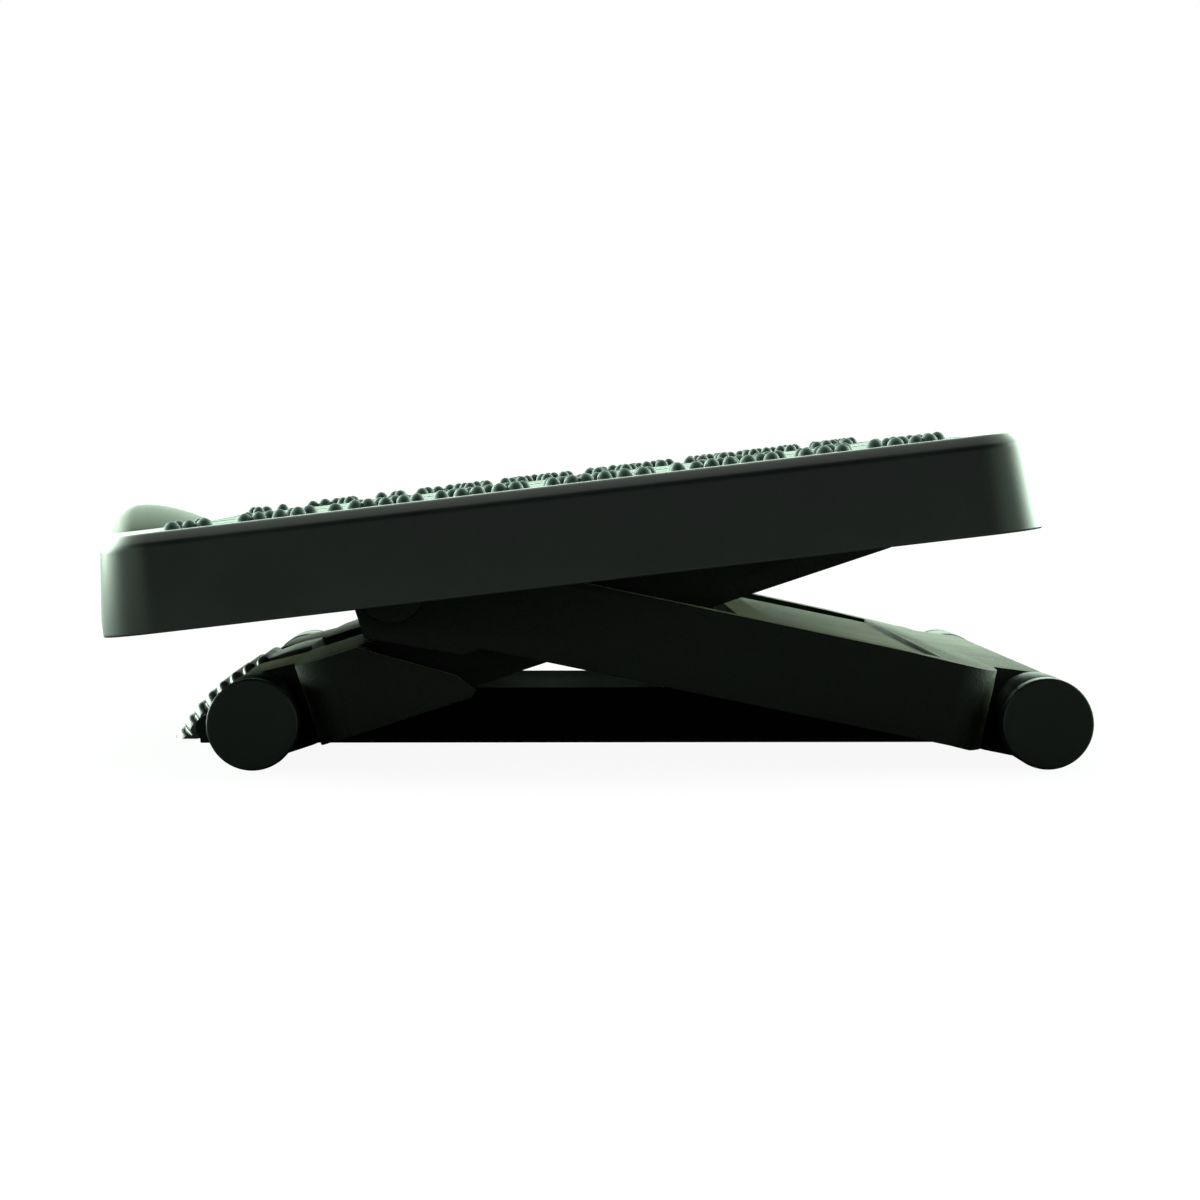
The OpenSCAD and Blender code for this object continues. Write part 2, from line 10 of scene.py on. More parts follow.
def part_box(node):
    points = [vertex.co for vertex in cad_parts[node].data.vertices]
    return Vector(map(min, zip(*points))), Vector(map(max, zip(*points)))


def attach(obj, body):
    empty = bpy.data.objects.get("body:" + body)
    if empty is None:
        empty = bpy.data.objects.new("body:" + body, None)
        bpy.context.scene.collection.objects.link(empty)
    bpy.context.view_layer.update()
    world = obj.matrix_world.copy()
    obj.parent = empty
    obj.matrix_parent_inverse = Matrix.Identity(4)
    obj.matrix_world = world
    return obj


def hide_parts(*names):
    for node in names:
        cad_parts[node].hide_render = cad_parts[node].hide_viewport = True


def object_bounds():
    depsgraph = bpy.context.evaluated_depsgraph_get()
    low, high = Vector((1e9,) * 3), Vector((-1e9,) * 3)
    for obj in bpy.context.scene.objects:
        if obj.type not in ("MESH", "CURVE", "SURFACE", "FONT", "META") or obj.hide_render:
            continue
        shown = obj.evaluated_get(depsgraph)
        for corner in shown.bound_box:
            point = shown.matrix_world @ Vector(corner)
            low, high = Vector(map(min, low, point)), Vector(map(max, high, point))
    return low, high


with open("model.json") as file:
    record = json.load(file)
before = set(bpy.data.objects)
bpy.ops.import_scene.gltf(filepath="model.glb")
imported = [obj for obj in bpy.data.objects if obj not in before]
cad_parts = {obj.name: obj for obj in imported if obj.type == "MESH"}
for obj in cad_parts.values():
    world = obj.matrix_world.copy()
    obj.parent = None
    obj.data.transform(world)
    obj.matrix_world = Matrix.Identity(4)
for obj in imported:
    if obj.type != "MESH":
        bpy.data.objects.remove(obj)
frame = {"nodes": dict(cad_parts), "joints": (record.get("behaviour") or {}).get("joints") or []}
cad_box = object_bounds()
MM = 0.001

# ---------------------------------------------------------------- places and sizes

# The platform at rest: its tilt pivot, its pitch, and the frame of its own plane
JOINTS = {j["name"]: j for j in frame["joints"]}
PIVOT = Vector(JOINTS["platform_tilt"]["pos_m"])
TILT = math.radians(6.67)
NORMAL = Vector((-math.sin(TILT), 0, math.cos(TILT)))
ALONG = Vector((NORMAL.z, 0, -NORMAL.x))
PLATFORM = Matrix((
    (ALONG.x, 0, NORMAL.x, PIVOT.x),
    (0, 1, 0, PIVOT.y),
    (ALONG.z, 0, NORMAL.z, PIVOT.z),
    (0, 0, 0, 1),
))

# The platform in its own plane, in mm from the tilt pivot: s runs to the toe edge, n stands square to it.
# Its heel slants out to a nose by about HEEL_BOW, its toe edge bows by TOE_BOW, its skirt leans in by DRAFT
WIDTH = (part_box("platform_shell")[1][1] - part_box("platform_shell")[0][1]) / MM
HEEL_S = -105.0
TOE_S = 237.0
HEEL_BOW = 24.0
TOE_BOW = 5.0
NOSE_R = 100.0
CORNER_R = 22.0
WALL = 3.0
DRAFT = 3.2

# Heights of the skirt's lower edge and the rim, the sloped band between them, the depth of the mats' pockets,
# and the height of the panel's underside
SKIRT_N = -5.1
TOP_N = 30.9
BAND_W = 4.6
BAND_H = 4.2
SKIRT_H = TOP_N - SKIRT_N - BAND_H
POCKET = 1.5
PANEL_N = TOP_N - POCKET - WALL

# Each mat's reach along s and from the middle outwards, its thickness and corner radius, the spacing of its
# bumps, and the most rows of them
MAT_S = (-82.0, 214.0)
MAT_Y = (14.0, 209.0)
MAT_T = 1.3
MAT_R = 9.0
BUMP_PITCH = 6.6
BUMP_ROWS = 6

# Curved face of the pedal: its centre in the part's own x and z, and where its skin starts
PEDAL_X = -89.4
PEDAL_Z = -39.7
PEDAL_SKIN_R = 75.0

# Edges that turn by more than this many degrees are softened, and vertices closer than WELD are made one
SHARP = 38
WELD = 0.002 * MM


# ---------------------------------------------------------------- mesh helpers

def new_object(name, mesh):
    obj = bpy.data.objects.new(name, mesh)
    bpy.context.scene.collection.objects.link(obj)
    return obj


def from_bmesh(name, bm, sharp=35):
    bmesh.ops.recalc_face_normals(bm, faces=bm.faces)
    mesh = bpy.data.meshes.new(name)
    bm.to_mesh(mesh)
    bm.free()
    smooth(mesh, sharp)
    return new_object(name, mesh)


def smooth(mesh, sharp=35):
    mesh.polygons.foreach_set("use_smooth", [True] * len(mesh.polygons))
    mesh.set_sharp_from_angle(angle=math.radians(sharp))


def apply_modifiers(obj):
    graph = bpy.context.evaluated_depsgraph_get()
    mesh = bpy.data.meshes.new_from_object(obj.evaluated_get(graph))
    obj.modifiers.clear()
    obj.data = mesh


def add_bevel(obj, width):
    mod = obj.modifiers.new("edges", "BEVEL")
    mod.width = width * MM
    mod.segments = 2
    mod.limit_method = "ANGLE"
    mod.angle_limit = math.radians(SHARP)
    mod.harden_normals = False
    mod.use_clamp_overlap = True


def arc(cx, cy, r, a0, a1, n):
    turns = [math.radians(a0 + (a1 - a0) * i / n) for i in range(n + 1)]
    return [(cx + r * math.cos(a), cy + r * math.sin(a)) for a in turns]


def bow_radius(half, bow):
    return (half * half + bow * bow) / (2 * bow)


def outline(inset):
    """The platform's plan: straight sides, a bowed toe edge, and a heel that slants out to a nose."""
    corner_n = 14
    nose_n = 10
    toe_n = 32
    r = CORNER_R - inset
    cy = WIDTH / 2 - CORNER_R
    toe_r = bow_radius(WIDTH / 2, TOE_BOW)
    toe_c = TOE_S + TOE_BOW - toe_r
    toe_x = toe_c + math.sqrt((toe_r - CORNER_R) ** 2 - cy * cy)
    toe_a = math.degrees(math.atan2(cy, toe_x - toe_c))
    heel_x = HEEL_S + CORNER_R
    slant = math.atan2(HEEL_BOW, cy)
    nose_x = heel_x - (cy * math.sin(slant) + CORNER_R - NOSE_R) / math.cos(slant)
    tip = math.degrees(slant)
    points = arc(toe_c, 0, toe_r - inset, -toe_a, toe_a, toe_n)
    points += arc(toe_x, cy, r, toe_a, 90, corner_n)[1:]
    points += arc(heel_x, cy, r, 90, 180 - tip, corner_n)
    points += arc(nose_x, 0, NOSE_R - inset, 180 - tip, 180 + tip, nose_n)
    points += arc(heel_x, -cy, r, 180 + tip, 270, corner_n)
    points += arc(toe_x, -cy, r, 270, 360 - toe_a, corner_n)[:-1]
    return points


def loft(rings):
    """A closed skin through rings of equal length, capped at both ends."""
    bm = bmesh.new()
    loops = [[bm.verts.new(p) for p in ring] for ring in rings]
    count = len(loops[0])
    for low, high in zip(loops, loops[1:]):
        for i in range(count):
            k = (i + 1) % count
            bm.faces.new((low[i], low[k], high[k], high[i]))
    bm.faces.new(list(reversed(loops[0])))
    bm.faces.new(loops[-1])
    return bm


def fillet(corner, before, after, r, n):
    """Points that round a corner of a profile, by a quadratic curve."""
    c, b, a = Vector(corner), Vector(before), Vector(after)
    p0 = c + (b - c).normalized() * r
    p2 = c + (a - c).normalized() * r
    ts = [i / n for i in range(n + 1)]
    return [tuple(p0 * (1 - t) ** 2 + c * 2 * t * (1 - t) + p2 * t * t) for t in ts]


def rounded_profile(points, radii, n):
    """A profile with each inner corner rounded by its own radius."""
    out = [points[0]]
    for i in range(1, len(points) - 1):
        out += fillet(points[i], points[i - 1], points[i + 1], radii[i], n)
    return out + [points[-1]]


def rounded_rectangle(x0, x1, y0, y1, r):
    corners = [(x1 - r, y1 - r, 0), (x0 + r, y1 - r, 90), (x0 + r, y0 + r, 180), (x1 - r, y0 + r, 270)]
    return [p for cx, cy, a in corners for p in arc(cx, cy, r, a, a + 90, 8)]


def rounded_box(x0, x1, y0, y1, z0, z1, r):
    """A box with four round upright edges."""
    plan = rounded_rectangle(x0, x1, y0, y1, r)
    return loft([[(x, y, z0) for x, y in plan], [(x, y, z1) for x, y in plan]])


def in_platform(obj):
    obj.data.transform(Matrix.Scale(MM, 4))
    obj.data.transform(PLATFORM)
    return obj


def boolean(obj, cutter, operation):
    mod = obj.modifiers.new(operation.lower(), "BOOLEAN")
    mod.operation = operation
    mod.solver = "EXACT"
    mod.object = cutter
    apply_modifiers(obj)
    bpy.data.objects.remove(cutter)


def outer_edges(bm, side_y):
    """The sharp edges round the outer faces of a leg's side plates, away from its pivot caps."""
    face_depth = 0.3 * MM
    cap_room = 14 * MM
    found = []
    for edge in bm.edges:
        if len(edge.link_faces) != 2 or edge.calc_face_angle(0) < math.radians(SHARP):
            continue
        on_face = all(abs(v.co.y) > side_y - face_depth for v in edge.verts)
        clear = all((v.co - PIVOT).xz.length > cap_room for v in edge.verts)
        if on_face and clear:
            found.append(edge)
    return found


def rounded_copy(node, width, outer=0.0):
    """The CAD node's own shape with softened edges, and rounder ones on its outer faces if asked."""
    mesh = frame["nodes"][node].data.copy()
    bm = bmesh.new()
    bm.from_mesh(mesh)
    bmesh.ops.remove_doubles(bm, verts=bm.verts, dist=WELD)
    bmesh.ops.dissolve_limit(
        bm, angle_limit=math.radians(1), verts=bm.verts, edges=bm.edges, delimit={"NORMAL"})
    if outer:
        edges = outer_edges(bm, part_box(node)[1][1])
        bmesh.ops.bevel(bm, geom=edges, offset=outer * MM, offset_type="OFFSET", segments=4,
                        profile=0.5, affect="EDGES", clamp_overlap=True)
    obj = from_bmesh(node + "_moulded", bm)
    add_bevel(obj, width)
    apply_modifiers(obj)
    smooth(obj.data, 40)
    return obj


def finish_piece(obj, body, material, slot, *nodes):
    obj.data.materials.clear()
    obj.data.materials.append(material)
    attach(obj, body)
    if nodes:
        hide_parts(*nodes)
    return obj


# ---------------------------------------------------------------- materials

# Scales of the noise in the materials, in waves a metre
WAVES = 9
MOTTLING = 28
STAINS = 60
SCUFFS = 160
TURNING = 900

# Tint of the soft sheen on moulded pieces
SHEEN_COLOUR = (1.0, 1.0, 0.62, 1)


class Nodes:
    """A short way to write a node material."""

    def __init__(self, name):
        self.material = bpy.data.materials.new(name)
        self.material.use_nodes = True
        self.tree = self.material.node_tree
        self.tree.nodes.clear()
        self.out = self.add("ShaderNodeOutputMaterial")
        self.shader = self.add("ShaderNodeBsdfPrincipled")
        self.link(self.shader, "BSDF", self.out, "Surface")
        self.place = self.add("ShaderNodeTexCoord")

    def add(self, kind, **values):
        node = self.tree.nodes.new(kind)
        for key, value in values.items():
            setattr(node, key, value)
        return node

    def link(self, a, out, b, into):
        self.tree.links.new(a.outputs[out], b.inputs[into])

    def noise(self, scale, detail=4, rough=0.6):
        node = self.add("ShaderNodeTexNoise")
        node.inputs["Scale"].default_value = scale
        node.inputs["Detail"].default_value = detail
        node.inputs["Roughness"].default_value = rough
        self.link(self.place, "Object", node, "Vector")
        return node

    def spread(self, node, out, low, high, a=0.3, b=0.7):
        mapped = self.add("ShaderNodeMapRange")
        mapped.inputs["From Min"].default_value = a
        mapped.inputs["From Max"].default_value = b
        mapped.inputs["To Min"].default_value = low
        mapped.inputs["To Max"].default_value = high
        self.link(node, out, mapped, "Value")
        return mapped

    def blend(self, factor, out, low, high):
        mix = self.add("ShaderNodeMix", data_type="RGBA")
        mix.inputs["A"].default_value = (*low, 1)
        mix.inputs["B"].default_value = (*high, 1)
        self.link(factor, out, mix, "Factor")
        return mix

    def bump(self, node, out, distance, strength=1.0, after=None):
        bump = self.add("ShaderNodeBump")
        bump.inputs["Distance"].default_value = distance
        bump.inputs["Strength"].default_value = strength
        self.link(node, out, bump, "Height")
        if after:
            self.link(after, "Normal", bump, "Normal")
        return bump


def moulded(name, base, worn, rough, grain_mm, grain_depth, wear=0.5, shine=0.5, contrast=0.2, sheen=0.0):
    """Moulded plastic or rubber: fine grain, slow mottling, and paler rubbed edges."""
    n = Nodes(name)
    mottle = n.noise(MOTTLING, 3)
    grain = n.noise(1 / (grain_mm * MM), 3, 0.55)
    dark = tuple(c * (1 - contrast) for c in base)
    light = tuple(c * (1 + contrast) for c in base)
    mixed = n.add("ShaderNodeMath", operation="ADD")
    n.link(n.spread(mottle, "Fac", 0, 0.5), "Result", mixed, 0)
    n.link(n.spread(grain, "Fac", 0, 0.5, 0.4, 0.6), "Result", mixed, 1)
    colour = n.blend(mixed, "Value", dark, light)
    edges = n.add("ShaderNodeNewGeometry")
    rubbed = n.spread(edges, "Pointiness", 0, wear, 0.53, 0.62)
    scuffs = n.noise(SCUFFS, 5, 0.7)
    patchy = n.add("ShaderNodeMath", operation="MULTIPLY")
    n.link(rubbed, "Result", patchy, 0)
    n.link(n.spread(scuffs, "Fac", 0.2, 1, 0.35, 0.65), "Result", patchy, 1)
    top = n.add("ShaderNodeMix", data_type="RGBA")
    top.inputs["B"].default_value = (*worn, 1)
    n.link(patchy, "Value", top, "Factor")
    n.link(colour, "Result", top, "A")
    n.link(top, "Result", n.shader, "Base Color")
    n.link(n.spread(mottle, "Fac", rough - 0.05, rough + 0.06), "Result", n.shader, "Roughness")
    n.shader.inputs["Specular IOR Level"].default_value = shine
    n.shader.inputs["Sheen Weight"].default_value = sheen
    n.shader.inputs["Sheen Roughness"].default_value = 0.3
    n.shader.inputs["Sheen Tint"].default_value = SHEEN_COLOUR
    waves = n.bump(n.noise(WAVES, 2), "Fac", 0.6 * MM, 0.35)
    n.link(n.bump(grain, "Fac", grain_depth * MM, 1.0, waves), "Normal", n.shader, "Normal")
    return n.material


def metal(name, base, rough, streak):
    """Plated steel, with fine turning marks round its length and faint stains."""
    n = Nodes(name)
    stain = n.noise(STAINS, 4)
    dark = tuple(c * 0.75 for c in base)
    n.link(n.blend(n.spread(stain, "Fac", 0, 1), "Result", dark, base), "Result", n.shader, "Base Color")
    n.shader.inputs["Metallic"].default_value = 1.0
    n.link(n.spread(stain, "Fac", rough - 0.06, rough + 0.1), "Result", n.shader, "Roughness")
    stretch = n.add("ShaderNodeMapping")
    stretch.inputs["Scale"].default_value = (1, streak, 1)
    n.link(n.place, "Object", stretch, "Vector")
    marks = n.add("ShaderNodeTexNoise")
    marks.inputs["Scale"].default_value = TURNING
    n.link(stretch, "Vector", marks, "Vector")
    n.link(n.bump(marks, "Fac", 0.03 * MM, 0.8), "Normal", n.shader, "Normal")
    return n.material


SHELL = moulded(
    "shell_plastic", base=(0.0044, 0.0054, 0.0052), worn=(0.018, 0.021, 0.020),
    rough=0.33, grain_mm=0.55, grain_depth=0.03)
FRAME = moulded(
    "frame_plastic", base=(0.0032, 0.0040, 0.0028), worn=(0.011, 0.013, 0.009),
    rough=0.55, grain_mm=0.75, grain_depth=0.30, shine=0.16, contrast=0.75, sheen=0.14)
RAIL = moulded(
    "rail_plastic", base=(0.0060, 0.0090, 0.0080), worn=(0.012, 0.015, 0.014),
    rough=0.62, grain_mm=0.60, grain_depth=0.05, shine=0.05)
FOOT = moulded(
    "foot_rubber", base=(0.0030, 0.0042, 0.0036), worn=(0.010, 0.013, 0.011),
    rough=0.45, grain_mm=0.35, grain_depth=0.02, wear=0.3, shine=0.25)
MAT = moulded(
    "mat_rubber", base=(0.022, 0.048, 0.042), worn=(0.060, 0.095, 0.084),
    rough=0.50, grain_mm=0.40, grain_depth=0.02, wear=0.6, shine=0.30)
ARCH = moulded(
    "arch_rubber", base=(0.085, 0.100, 0.078), worn=(0.13, 0.145, 0.12),
    rough=0.55, grain_mm=0.50, grain_depth=0.03, wear=0.3, shine=0.25)
NYLON = moulded(
    "nylon_natural", base=(0.42, 0.42, 0.38), worn=(0.55, 0.55, 0.50),
    rough=0.45, grain_mm=0.5, grain_depth=0.02, wear=0.3)
STEEL = metal("plated_steel", base=(0.50, 0.51, 0.52), rough=0.32, streak=30)


# ---------------------------------------------------------------- platform

def platform_shell():
    """The tray-shaped skin of the shell: a skirt with draft, a sloped band, the rim and two mat pockets."""
    def outer(n):
        return DRAFT * (n - SKIRT_N) / SKIRT_H

    inner_top = WALL + outer(PANEL_N)
    panel_flat = 14
    rim_flat = 4
    points = [
        (inner_top + panel_flat, PANEL_N),
        (inner_top, PANEL_N),
        (WALL - 0.2, SKIRT_N),
        (0, SKIRT_N),
        (DRAFT, SKIRT_N + SKIRT_H),
        (DRAFT + BAND_W, TOP_N),
        (DRAFT + BAND_W + rim_flat, TOP_N),
    ]
    radii = [0, 2.5, 0.7, 0.9, 1.6, 1.2, 0]
    profile = rounded_profile(points, radii, 4)
    rings = [[(x, y, n) for x, y in outline(inset)] for inset, n in profile]
    shell = from_bmesh("skin", loft(rings))
    room = 0.2
    for side in (1, -1):
        low, high = sorted((side * MAT_Y[0], side * MAT_Y[1]))
        pocket = rounded_box(
            MAT_S[0] - room, MAT_S[1] + room, low - room, high + room, TOP_N - POCKET, TOP_N + 5, MAT_R)
        boolean(shell, from_bmesh("pocket", pocket), "DIFFERENCE")
    return in_platform(shell)


def under_parts():
    """The ribs and bearing blocks under the panel, cut from the CAD shell, with softened edges."""
    bm = bmesh.new()
    bm.from_mesh(frame["nodes"]["platform_shell"].data)
    bmesh.ops.remove_doubles(bm, verts=bm.verts, dist=WELD)
    bm.transform(Matrix.Scale(1 / MM, 4) @ PLATFORM.inverted())
    parts = from_bmesh("under_parts", bm)
    within = 207
    room = rounded_box(HEEL_S + 10, TOE_S - 10, -within, within, SKIRT_N - 1, PANEL_N - 0.01, 4)
    boolean(parts, from_bmesh("room", room), "INTERSECT")
    # their tops sink into the panel, so no gap shows
    for vert in parts.data.vertices:
        if vert.co.z > PANEL_N - 0.02:
            vert.co.z += 0.3
    # the mesh is still in mm here, so the bevel's width is scaled up to match
    add_bevel(parts, 0.35 / MM)
    apply_modifiers(parts)
    return in_platform(parts)


def joined(name, *objects):
    """One object that holds the meshes of several."""
    bm = bmesh.new()
    for obj in objects:
        bm.from_mesh(obj.data)
        bpy.data.objects.remove(obj)
    mesh = bpy.data.meshes.new(name)
    bm.to_mesh(mesh)
    bm.free()
    smooth(mesh, 35)
    return new_object(name, mesh)


def bump_places(side):
    """Bumps in staggered rows along a mat's outer side, in clusters parted by flat gaps."""
    random.seed(7 if side > 0 else 12)
    margin = 6
    edge = 5.0
    missing = 0.12
    wander_s = 1.1
    wander_y = 1.0
    columns = int((MAT_S[1] - MAT_S[0] - 2 * margin) / BUMP_PITCH)
    places = []
    left_in_cluster = random.randint(2, 4)
    for i in range(columns):
        share = i / columns
        if left_in_cluster == 0:
            left_in_cluster = random.randint(2, 4 + int(6 * share))
            continue
        left_in_cluster -= 1
        depth = random.choice((1, 2, 3, 4)) + int(3 * share)
        for k in range(min(BUMP_ROWS, depth)):
            if k > 0 and random.random() < missing:
                continue
            s = MAT_S[0] + margin + (i + 0.5 * (k % 2)) * BUMP_PITCH + random.uniform(-wander_s, wander_s)
            y = MAT_Y[1] - edge - k * BUMP_PITCH + random.uniform(-wander_y, wander_y)
            places.append((s, side * y))
    return places


def add_bump(bm, x, y, z, r, h):
    """One massage bump: a rounded cone with a soft foot, closed below."""
    turns = 14
    rises = 6
    foot_h = 0.22
    rings = [(r * 1.16, -0.5), (r * 1.14, 0.0), (r * 1.02, foot_h)]
    for i in range(1, rises):
        a = math.radians(90 * i / rises)
        rings.append((r * math.cos(a) ** 1.2, foot_h + (h - foot_h) * math.sin(a)))
    loops = []
    for radius, height in rings:
        ring = []
        for i in range(turns):
            a = 2 * math.pi * i / turns
            ring.append(bm.verts.new((x + radius * math.cos(a), y + radius * math.sin(a), z + height)))
        loops.append(ring)
    for low, high in zip(loops, loops[1:]):
        for i in range(turns):
            k = (i + 1) % turns
            bm.faces.new((low[i], low[k], high[k], high[i]))
    tip = bm.verts.new((x, y, z + h))
    for i in range(turns):
        bm.faces.new((loops[-1][i], loops[-1][(i + 1) % turns], tip))
    bm.faces.new(list(reversed(loops[0])))


def massage_mat(side, name):
    """One mat: a thin pad with a rounded border and its massage bumps."""
    low, high = sorted((side * MAT_Y[0], side * MAT_Y[1]))
    base = TOP_N - POCKET
    levels = [(0.1, base), (0.1, base + MAT_T - 0.5), (0.25, base + MAT_T - 0.15), (0.6, base + MAT_T)]
    rings = []
    for inset, z in levels:
        plan = rounded_rectangle(MAT_S[0] + inset, MAT_S[1] - inset, low + inset, high - inset, MAT_R - inset)
        rings.append([(x, y, z) for x, y in plan])
    bm = loft(rings)
    for x, y in bump_places(side):
        add_bump(bm, x, y, base + MAT_T, r=random.uniform(2.75, 3.15), h=random.uniform(2.9, 3.3))
    mat = in_platform(from_bmesh(name + "_moulded", bm, 50))
    return finish_piece(mat, "platform", MAT, "mat_rubber", name)


def arch_support():
    """The smooth mound at the heel edge, steep towards the heel and gentle towards the toe."""
    peak_s = HEEL_S - 2.5
    heel_reach = 12.3
    toe_reach = 29.5
    half_width = 41.0
    height = 10.5
    turns = 64
    rises = 18
    bm = bmesh.new()
    loops = []
    for j in range(rises):
        rho = math.cos(math.radians(90 * j / rises))
        ring = []
        for i in range(turns):
            a = 2 * math.pi * i / turns
            toe_share = (1 + math.cos(a)) / 2
            steep = (1 - rho * rho) ** 0.72
            gentle = 1 - rho ** 1.7
            lift = steep * (1 - toe_share) + gentle * toe_share
            reach = toe_reach if math.cos(a) > 0 else heel_reach
            s = peak_s + rho * math.cos(a) * reach
            ring.append(bm.verts.new((s, rho * math.sin(a) * half_width, TOP_N - 0.3 + lift * height)))
        loops.append(ring)
    for low_ring, high_ring in zip(loops, loops[1:]):
        for i in range(turns):
            k = (i + 1) % turns
            bm.faces.new((low_ring[i], low_ring[k], high_ring[k], high_ring[i]))
    bm.faces.new(loops[-1])
    bm.faces.new(list(reversed(loops[0])))
    dome = in_platform(from_bmesh("arch_support_moulded", bm, 60))
    return finish_piece(dome, "platform", ARCH, "arch_rubber", "arch_support")


def platform():
    shell = joined("platform_shell_moulded", platform_shell(), under_parts())
    finish_piece(shell, "platform", SHELL, "charcoal_shell", "platform_shell")
    massage_mat(1, "massage_mat_left")
    massage_mat(-1, "massage_mat_right")
    arch_support()
    for side in ("left", "right"):
        node = "bearing_cap_" + side
        finish_piece(rounded_copy(node, 0.5), "platform", FRAME, "black_frame", node)


# ---------------------------------------------------------------- legs, rail and pedal

def pedal_with_round_ends():
    """The pedal with the ends of its ribbed face rounded off: `drop` deep, over the last `end`."""
    low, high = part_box("pedal")
    half = high[1]
    centre = Vector((PEDAL_X, 0, PEDAL_Z)) * MM
    end = 12 * MM
    drop = 4 * MM
    slices = 6
    obj = rounded_copy("pedal", 0.5)
    bm = bmesh.new()
    bm.from_mesh(obj.data)
    for i in range(1, slices + 1):
        for side in (1, -1):
            everything = bm.verts[:] + bm.edges[:] + bm.faces[:]
            place = (0, side * (half - end * i / slices), 0)
            bmesh.ops.bisect_plane(bm, geom=everything, plane_co=place, plane_no=(0, 1, 0))
    for vert in bm.verts:
        out = Vector((vert.co.x - centre.x, 0, vert.co.z - centre.z))
        share = min(max((out.length - PEDAL_SKIN_R * MM) / (2 * MM) + 1, 0), 1)
        along = max(abs(vert.co.y) - half + end, 0) / end
        vert.co -= out.normalized() * share * drop * along ** 2
        vert.co.z = max(vert.co.z, low[2])
    bm.to_mesh(obj.data)
    bm.free()
    smooth(obj.data, 40)
    return obj


def leg(node, tip_x, tip_z):
    """A leg with its side plates' lower tips, within tip_x, levelled at tip_z, beside the hub's end."""
    hub_end = 153 * MM
    obj = rounded_copy(node, width=0.6, outer=1.8)
    for vert in obj.data.vertices:
        if abs(vert.co.y) > hub_end and tip_x[0] * MM < vert.co.x < tip_x[1] * MM:
            vert.co.z = max(vert.co.z, tip_z * MM)
    finish_piece(obj, node, FRAME, "black_frame", node)


def frames():
    leg("rear_leg", tip_x=(100, 165), tip_z=6.4)
    leg("front_leg", tip_x=(-98.5, -70), tip_z=8.2)
    finish_piece(rounded_copy("tilt_frame", 0.7), "tilt_frame", FRAME, "black_frame", "tilt_frame")
    finish_piece(rounded_copy("base_rail", 0.6), "base", RAIL, "black_frame", "base_rail")
    finish_piece(pedal_with_round_ends(), "pedal", SHELL, "charcoal_shell", "pedal")
    for side in ("left", "right"):
        node = "pivot_cap_" + side
        finish_piece(rounded_copy(node, 0.4), "rear_leg", FRAME, "black_frame", node)


def foot(node, body, outward):
    """A round foot turned to its full shape: soft edges, a shallow dished face and a parting line."""
    low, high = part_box(node)
    centre = Vector(((low[0] + high[0]) / 2, 0, (low[2] + high[2]) / 2))
    r = (high[2] - low[2]) / 2 / MM
    near, away = (high[1], low[1]) if outward > 0 else (low[1], high[1])
    length = abs(near - away) / MM
    soft = 0.9
    line_r = r - 0.25
    bore_r = 6.0
    turns = 96
    quarter = [math.radians(a) for a in range(0, 91, 15)]
    profile = [(0.0, length - 0.7), (r * 0.45, length - 0.6), (r * 0.78, length - 0.25)]
    profile += [(r - soft + soft * math.sin(a), length - soft + soft * math.cos(a)) for a in quarter]
    profile += [(r, length - 9), (line_r, length - 9.3), (line_r, length - 9.7), (r, length - 10)]
    profile += [(r - soft + soft * math.cos(a), soft - soft * math.sin(a)) for a in quarter]
    profile += [(bore_r, 0.0)]
    bm = bmesh.new()
    loops = []
    for radius, depth in profile:
        y = away + outward * depth * MM
        if radius == 0:
            loops.append([bm.verts.new((centre.x, y, centre.z))] * turns)
            continue
        loops.append([
            bm.verts.new((centre.x + radius * MM * math.cos(2 * math.pi * i / turns), y,
                          centre.z + radius * MM * math.sin(2 * math.pi * i / turns)))
            for i in range(turns)])
    for first, second in zip(loops, loops[1:]):
        for i in range(turns):
            k = (i + 1) % turns
            corners = [first[i], first[k], second[k], second[i]]
            if first[i] is first[k]:
                corners = [first[i], second[k], second[i]]
            bm.faces.new(corners)
    bm.faces.new(loops[-1])
    finish_piece(from_bmesh(node + "_turned", bm, 40), body, FOOT, "foot_rubber", node)


def feet():
    for side, outward in (("left", 1), ("right", -1)):
        foot("front_foot_" + side, "front_leg", outward)
        foot("rear_foot_" + side, "base", outward)


def small_parts():
    """CAD nodes that keep their shape and get a better material."""
    steel = ("bearing_cap_screws", "tilt_axle", "cross_pin_left", "cross_pin_right", "front_axle",
             "support_shaft", "rear_axle", "notch_plate", "latch_rack", "pedal_pin", "pedal_springs",
             "pedal_pin_clips")
    nylon = ("tilt_bush_left", "tilt_bush_right", "tilt_friction_washers", "rear_bush_left",
             "rear_bush_right", "cross_bush_left", "cross_bush_right", "glide_sleeve_left",
             "glide_sleeve_right")
    for nodes, material in ((steel, STEEL), (nylon, NYLON), (("tilt_stop_pads",), FOOT)):
        for node in nodes:
            mesh = frame["nodes"][node].data
            for i in range(len(mesh.materials)):
                mesh.materials[i] = material


# ---------------------------------------------------------------- camera, floor and light

# Strength of the backdrop's glow at the right, at the left, behind, and away from the right
RIGHT_GLOW = 10.0
LEFT_GLOW = 10.5
BACK_GLOW = 4.8
BASE_GLOW = 0.20

# How much of it is left ahead and above, and how much of the glow behind is left at the horizon
FRONT_SHARE = 0.12
TOP_SHARE = 0.17
HORIZON_SHARE = 0.5
GLOW_COLOUR = (0.78, 1.0, 0.82, 1)

# What the floor throws back on the object, and how far the camera sees it as plain white
FLOOR_BOUNCE = (0.22, 0.22, 0.22)
FLOOR_WHITE = 0.93


